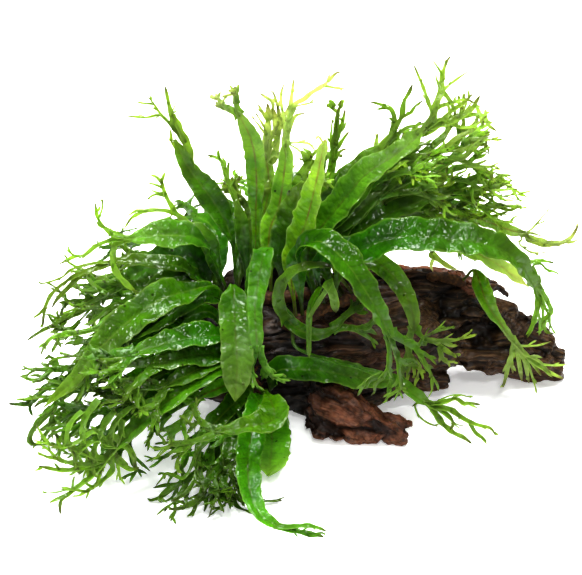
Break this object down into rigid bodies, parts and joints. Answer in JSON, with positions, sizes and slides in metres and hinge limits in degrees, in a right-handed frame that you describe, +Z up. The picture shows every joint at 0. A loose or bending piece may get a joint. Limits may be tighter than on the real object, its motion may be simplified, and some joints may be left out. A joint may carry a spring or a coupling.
{
  "type": "java fern on driftwood",
  "caption": "Aquarium fern with long arching fronds and finely forked, crested tips, its creeping rhizomes grown onto a dark, wet, forked piece of driftwood.",
  "frame": {"origin": "on the flat patch under the driftwood trunk, at floor level", "axes": "+X along the driftwood to its right end and the longest extent, +Y to the back, +Z up"},
  "size_m": [0.2833, 0.2519, 0.1864],
  "materials": {
    "driftwood": "wet, near-black brown, grooved",
    "rhizome": "dull green-brown plant stem",
    "leaf_pale": "wet yellow-green leaf",
    "leaf_bright": "wet bright green leaf",
    "leaf_mid": "wet green leaf",
    "leaf_dark": "wet dark green leaf",
    "leaf_brown": "wet leaf turning brown at the tips"
  },
  "bodies": {
    "root": {"driftwood_trunk": "driftwood", "driftwood_right_limb": "driftwood", "driftwood_upper_stub": "driftwood", "driftwood_front_limb": "driftwood", "driftwood_splinter": "driftwood", "driftwood_low_stub": "driftwood", "rhizome_crown": "rhizome", "rhizome_front": "rhizome", "rhizome_right": "rhizome", "rhizome_stub": "rhizome", "frond_front_centre": "leaf_bright", "frond_left_big": "leaf_bright", "frond_bottom_front": "leaf_bright", "frond_left_top_bright": "leaf_bright", "frond_yellow_front": "leaf_pale", "frond_front_right_long": "leaf_mid", "frond_right_arching": "leaf_mid", "frond_right_glossy": "leaf_mid", "frond_right_broad": "leaf_dark", "frond_tall_crest": "leaf_pale", "frond_pale_upright": "leaf_pale", "frond_left_tall": "leaf_mid", "frond_curl": "leaf_bright", "frond_on_wood_low": "leaf_dark", "frond_low_right_crest": "leaf_mid", "frond_left_row_a": "leaf_mid", "frond_left_row_b": "leaf_mid", "frond_front_centre_right": "leaf_bright", "frond_bottom_short": "leaf_bright", "frond_bottom_fold": "leaf_bright", "frond_front_right_second": "leaf_mid", "frond_thin_strap": "leaf_brown", "frond_right_lower_pale": "leaf_pale", "frond_right_pale": "leaf_pale", "frond_right_e": "leaf_mid", "frond_right_d": "leaf_mid", "frond_right_c": "leaf_mid", "frond_right_rear_dark": "leaf_dark", "frond_brown_tip": "leaf_brown", "frond_tall_crest_left": "leaf_pale", "frond_left_dark_tip": "leaf_dark", "frond_left_upper_crest": "leaf_mid", "frond_left_upper_dark": "leaf_dark", "frond_low_left_a": "leaf_dark", "frond_low_left_b": "leaf_mid", "frond_low_left_c": "leaf_mid", "frond_low_left_d": "leaf_dark", "frond_low_olive": "leaf_pale", "frond_low_centre_a": "leaf_mid", "frond_low_centre_b": "leaf_dark", "frond_left_far_a": "leaf_mid", "frond_left_far_b": "leaf_dark", "frond_left_far_c": "leaf_mid", "frond_left_far_d": "leaf_dark", "frond_right_hanging": "leaf_bright", "frond_back_left_low": "leaf_mid", "frond_back_left_mid": "leaf_dark", "frond_back_centre": "leaf_mid", "frond_back_right_a": "leaf_dark", "frond_back_right_b": "leaf_mid"}
  },
  "joints": []
}
